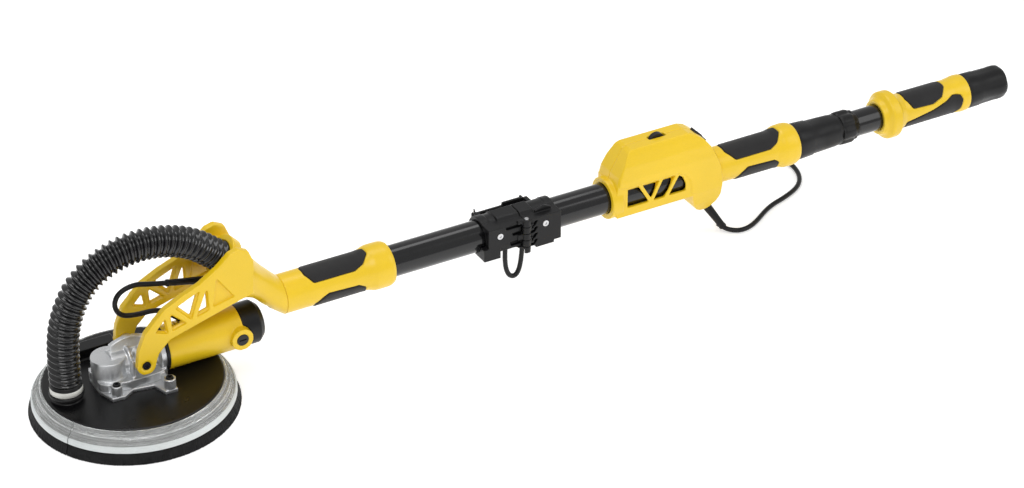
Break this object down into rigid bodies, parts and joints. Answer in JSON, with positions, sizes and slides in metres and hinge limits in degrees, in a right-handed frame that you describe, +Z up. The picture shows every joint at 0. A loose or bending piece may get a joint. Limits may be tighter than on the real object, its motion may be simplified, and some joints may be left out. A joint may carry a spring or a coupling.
{
  "type": "pole drywall sander",
  "caption": "Long-handled wall and ceiling sander: round sanding head with brush skirt, geared motor, forked tilting head, folding telescopic pole, dust hose and mains lead.",
  "frame": {"origin": "centre of the sanding face, on the surface that the head stands on", "axes": "+X along the pole to its rear end, +Z up out of the sanding face, -Y the side of the hinge pin"},
  "size_m": [1.3505, 0.315, 0.2256],
  "materials": {
    "yellow_plastic": "satin moulded",
    "black_plastic": "fine texture",
    "soft_grip": "matt soft grip",
    "black_tube": "gloss black",
    "clear_plastic": "clear moulded",
    "bristle": "dense nylon bristle",
    "cast_aluminium": "die cast",
    "black_steel": "black oxide",
    "bright_steel": "bright",
    "lamination": "varnished",
    "rubber": "smooth black",
    "foam": "closed-cell foam",
    "abrasive": "coated grit",
    "board": "circuit board"
  },
  "bodies": {
    "head": {"shroud_plate": "black_plastic", "clear_ring": "clear_plastic", "clear_front_segment": "clear_plastic", "brush_ring": "bristle", "brush_front_segment": "bristle", "gearbox_base": "cast_aluminium", "gearbox_housing": "cast_aluminium", "gearbox_screws": "black_steel", "bearings": "bright_steel", "motor_gasket": "rubber", "motor_housing": "yellow_plastic", "motor_end_cap": "black_plastic", "stator": "lamination", "carbon_brushes": "lamination", "brush_caps": "black_plastic", "pivot_bolts": "black_steel", "motor_lead_boot": "rubber", "hose_lower_cuff": "black_plastic", "dust_hose": "rubber", "fork_lead": "rubber"},
    "pad": {"abrasive_disc": "abrasive", "foam_pad": "foam", "backing_plate": "black_plastic", "spindle": "bright_steel", "spindle_gear": "bright_steel"},
    "layshaft": {"layshaft": "bright_steel", "bevel_gear": "bright_steel"},
    "armature": {"armature_shaft": "bright_steel", "armature_core": "lamination", "cooling_fan": "black_plastic"},
    "front_pole": {"fork": "yellow_plastic", "front_grip": "yellow_plastic", "front_grip_pads": "soft_grip", "front_tube": "black_tube", "front_hinge_clamp": "black_plastic", "front_hinge_screw": "bright_steel", "hinge_pins": "bright_steel", "fork_lead_boot": "rubber", "fold_lead": "rubber"},
    "latch": {"latch_lever": "black_plastic"},
    "rear_pole": {"rear_hinge_clamp": "black_plastic", "rear_hinge_screw": "bright_steel", "rear_tube": "black_tube", "switch_housing_near": "yellow_plastic", "switch_housing_far": "yellow_plastic", "control_board": "board", "middle_grip": "yellow_plastic", "middle_grip_pads": "soft_grip", "lock_sleeve": "black_plastic", "strain_relief": "rubber", "mains_cord": "rubber", "cord_coil": "rubber", "mains_plug": "black_plastic"},
    "power_switch": {"power_switch": "black_plastic"},
    "speed_dial": {"speed_dial": "black_plastic"},
    "lock_nut": {"lock_nut": "black_plastic"},
    "telescope": {"inner_tube": "black_tube", "rear_grip": "yellow_plastic", "rear_grip_pads": "soft_grip", "hose_connector": "black_plastic"}
  },
  "joints": [
    {"name": "head_tilt", "type": "hinge", "parent": "head", "child": "front_pole", "pos_m": [0.004, 0, 0.071], "axis": [0, -1, 0], "range_deg": [0, 90], "deforming": ["dust_hose", "fork_lead"]},
    {"name": "pole_fold", "type": "hinge", "parent": "front_pole", "child": "rear_pole", "pos_m": [0.5, -0.031, 0.089], "axis": [0, 0, -1], "range_deg": [0, 170], "deforming": ["fold_lead"]},
    {"name": "latch_open", "type": "hinge", "parent": "front_pole", "child": "latch", "pos_m": [0.462, 0.0294, 0.0965], "axis": [0, 0, 1], "range_deg": [0, 110]},
    {"name": "pad_spin", "type": "hinge", "parent": "head", "child": "pad", "pos_m": [0, 0, 0.03], "axis": [0, 0, 1], "continuous": true},
    {"name": "layshaft_spin", "type": "hinge", "parent": "head", "child": "layshaft", "pos_m": [-0.028, 0, 0.05], "axis": [0, 0, 1], "continuous": true},
    {"name": "armature_spin", "type": "hinge", "parent": "head", "child": "armature", "pos_m": [0.05, 0, 0.064], "axis": [1, 0, 0], "continuous": true},
    {"name": "switch_rock", "type": "hinge", "parent": "rear_pole", "child": "power_switch", "pos_m": [0.7598, 0, 0.1392], "axis": [0, 1, 0], "range_deg": [0, 10]},
    {"name": "dial_turn", "type": "hinge", "parent": "rear_pole", "child": "speed_dial", "pos_m": [0.7, 0, 0.149], "axis": [0, 1, 0], "range_deg": [0, 270]},
    {"name": "lock_turn", "type": "hinge", "parent": "rear_pole", "child": "lock_nut", "pos_m": [0.98, 0, 0.089], "axis": [1, 0, 0], "range_deg": [0, 90]},
    {"name": "pole_extension", "type": "slide", "parent": "rear_pole", "child": "telescope", "axis": [1, 0, 0], "range_m": [0, 0.3]}
  ],
  "couplings": [
    {"joint": "layshaft_spin", "follows": "pad_spin", "ratio": -4.6},
    {"joint": "armature_spin", "follows": "pad_spin", "ratio": -13.8}
  ]
}
